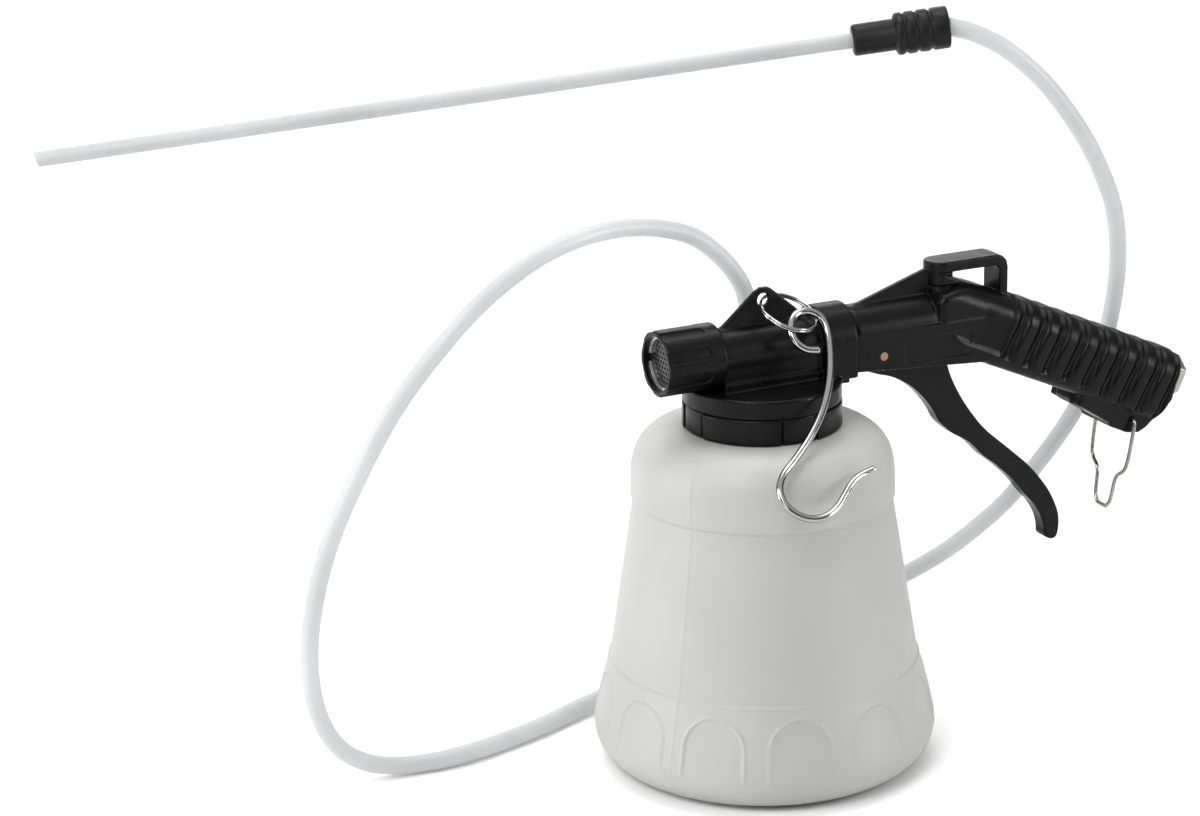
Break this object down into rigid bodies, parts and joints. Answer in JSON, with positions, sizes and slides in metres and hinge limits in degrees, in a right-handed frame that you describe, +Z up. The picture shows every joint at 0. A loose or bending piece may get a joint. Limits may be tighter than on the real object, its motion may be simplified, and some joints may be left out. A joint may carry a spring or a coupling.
{
  "type": "vacuum fluid extractor",
  "caption": "Air-operated vacuum extractor: conical plastic bottle, venturi head with silencer, pistol grip with trigger and lock, hose with straight suction probe, hanging hook.",
  "frame": {"origin": "centre of the bottle's flat base, on the surface that it stands on", "axes": "+Z up along the bottle, +X along the barrel towards the grip, +Y to the side where the hose leaves the head"},
  "size_m": [0.3821, 0.2108, 0.2539],
  "materials": {
    "bottle_plastic": "satin blown polyethylene, milky",
    "black_nylon": "fine moulded texture",
    "black_rubber": "matte",
    "clear_tube": "cloudy, smooth",
    "brass_parts": "turned",
    "bright_alloy": "turned",
    "bright_steel": "bright plated wire",
    "nickel_fitting": "nickel plated",
    "copper_pin": "copper coloured",
    "soft_seal": "moulded",
    "foam": "open felt"
  },
  "bodies": {
    "bottle": {"bottle": "bottle_plastic"},
    "head": {"bottle_gasket": "soft_seal", "head": "black_nylon", "hose_spigot": "brass_parts", "hose_nut": "brass_parts", "drain_spout": "clear_tube", "float_cage": "black_nylon", "venturi_nozzle": "brass_parts", "nozzle_o_ring": "soft_seal", "venturi_throat": "bright_alloy", "gun_body": "black_nylon", "pivot_pin": "copper_pin", "valve_guide": "brass_parts", "valve_spring": "bright_steel", "air_inlet": "nickel_fitting", "inlet_washer": "soft_seal", "inlet_filter": "brass_parts", "hose": "clear_tube", "hose_connector": "black_rubber", "probe": "clear_tube"},
    "screw_collar": {"screw_collar": "black_nylon"},
    "silencer": {"silencer_cap": "black_nylon", "silencer_foam": "foam", "silencer_grille": "black_nylon", "retaining_ring": "bright_steel"},
    "trigger": {"trigger": "black_nylon"},
    "valve": {"valve_stem": "bright_steel", "valve_seal": "soft_seal"},
    "float": {"float_ball": "bottle_plastic"},
    "trigger_lock": {"trigger_lock": "bright_steel"},
    "split_ring": {"split_ring": "bright_steel"},
    "hook": {"hook": "bright_steel"}
  },
  "joints": [
    {"name": "head_lift", "type": "slide", "parent": "bottle", "child": "head", "axis": [0, 0, 1], "range_m": [0, 0.045]},
    {"name": "collar_turn", "type": "hinge", "parent": "head", "child": "screw_collar", "pos_m": [0, 0, 0.126], "axis": [0, 0, 1], "continuous": true},
    {"name": "silencer_turn", "type": "hinge", "parent": "head", "child": "silencer", "pos_m": [-0.03, 0, 0.1485], "axis": [1, 0, 0], "continuous": true},
    {"name": "trigger_pull", "type": "hinge", "parent": "head", "child": "trigger", "pos_m": [0.042, 0, 0.142], "axis": [0, -1, 0], "range_deg": [0, 14], "stiffness_Nm_per_rad": 0.25, "springref_deg": -20.05},
    {"name": "valve_push", "type": "slide", "parent": "head", "child": "valve", "axis": [0, 0, 1], "range_m": [0, 0.0025], "deforming": ["valve_spring"]},
    {"name": "float_rise", "type": "slide", "parent": "head", "child": "float", "axis": [0, 0, 1], "range_m": [0, 0.01]},
    {"name": "lock_swing", "type": "hinge", "parent": "head", "child": "trigger_lock", "pos_m": [0.14595, 0, 0.10277], "axis": [0, -1, 0], "range_deg": [-38, 35]},
    {"name": "ring_swing", "type": "hinge", "parent": "head", "child": "split_ring", "pos_m": [0.0003, 0, 0.1657], "axis": [-0.6991, -0.6991, -0.1498], "range_deg": [0, 35]},
    {"name": "hook_swing", "type": "hinge", "parent": "split_ring", "child": "hook", "pos_m": [0.0121, -0.0133, 0.1577], "axis": [-0.6991, -0.6991, -0.15], "range_deg": [0, 40]}
  ],
  "couplings": [
    {"joint": "valve_push", "follows": "trigger_pull", "m_per_rad": 0.01}
  ]
}
